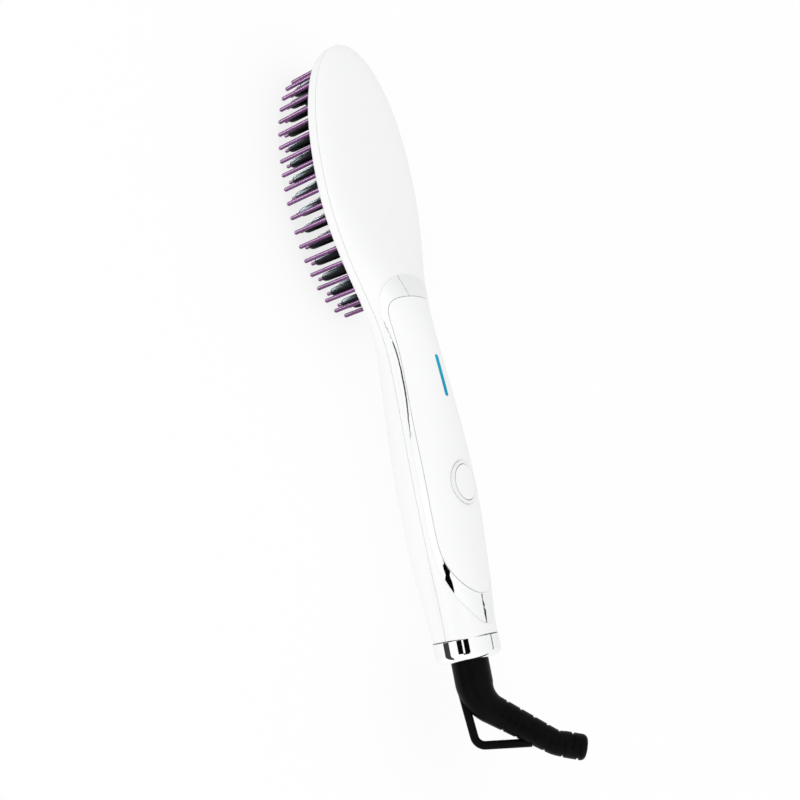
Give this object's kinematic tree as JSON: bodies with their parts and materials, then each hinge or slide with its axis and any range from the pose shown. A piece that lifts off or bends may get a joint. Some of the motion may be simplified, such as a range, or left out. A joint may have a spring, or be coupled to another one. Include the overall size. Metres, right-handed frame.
{
  "type": "hair straightening brush",
  "caption": "Electric hair straightening brush: oval heated head with guard pins and bullet teeth, contoured handle with a push button, chrome trim and a swivelling cord boot.",
  "frame": {"origin": "under the middle of the whole brush with its boot, level with the longest bristle tips", "axes": "+X along the handle towards the tip of the head, +Y across, +Z out of the back with the button"},
  "size_m": [0.3495, 0.0654, 0.0702],
  "materials": {
    "white_shell": "satin white moulding",
    "chrome": "bright plated",
    "light": "lit light pipe",
    "purple_nylon": "translucent moulding",
    "black_coating": "gloss ceramic coat",
    "chip_ceramic": "fired ceramic",
    "brass": "bare",
    "mica": "flaky sheet",
    "steel": "zinc plated",
    "sensor_bead": "glazed bead",
    "fuse_case": "plain can",
    "board": "solder mask",
    "black_plastic": "moulded",
    "film_case": "dipped",
    "led_lens": "clear lens",
    "natural_nylon": "moulded",
    "lead_sleeve": "silicone sleeve",
    "boot_rubber": "matte moulded"
  },
  "bodies": {
    "brush_body": {"back_cover": "white_shell", "front_frame": "white_shell", "control_panel": "white_shell", "chrome_trim": "chrome", "button_bezel": "chrome", "end_collar": "chrome", "light_bar": "light", "guard_pins": "purple_nylon", "tooth_tips": "purple_nylon", "heated_teeth": "black_coating", "heating_plate": "black_coating", "heater_chips": "chip_ceramic", "heater_electrodes": "brass", "contact_springs": "brass", "mica_sheet": "mica", "heater_clamp": "steel", "clamp_screws": "steel", "board_screws": "steel", "shell_screws": "steel", "thermistor": "sensor_bead", "thermal_fuse": "fuse_case", "main_board": "board", "tact_switch": "black_plastic", "triac": "black_plastic", "film_capacitor": "film_case", "indicator_leds": "led_lens", "swivel_socket": "natural_nylon", "supply_leads": "lead_sleeve", "heater_leads": "lead_sleeve", "sensor_leads": "lead_sleeve"},
    "power_button": {"button_cap": "white_shell", "switch_plunger": "black_plastic"},
    "cord_swivel": {"cord_boot": "boot_rubber", "swivel_spigot": "natural_nylon", "slip_rings": "brass", "retaining_clip": "steel"}
  },
  "joints": [
    {"name": "button_press", "type": "slide", "parent": "brush_body", "child": "power_button", "axis": [0, 0, -1], "range_m": [0, 0.0006], "stiffness_N_per_m": 2500},
    {"name": "cord_turn", "type": "hinge", "parent": "brush_body", "child": "cord_swivel", "pos_m": [-0.11323, 0, 0.034], "axis": [1, 0, 0], "continuous": true}
  ]
}
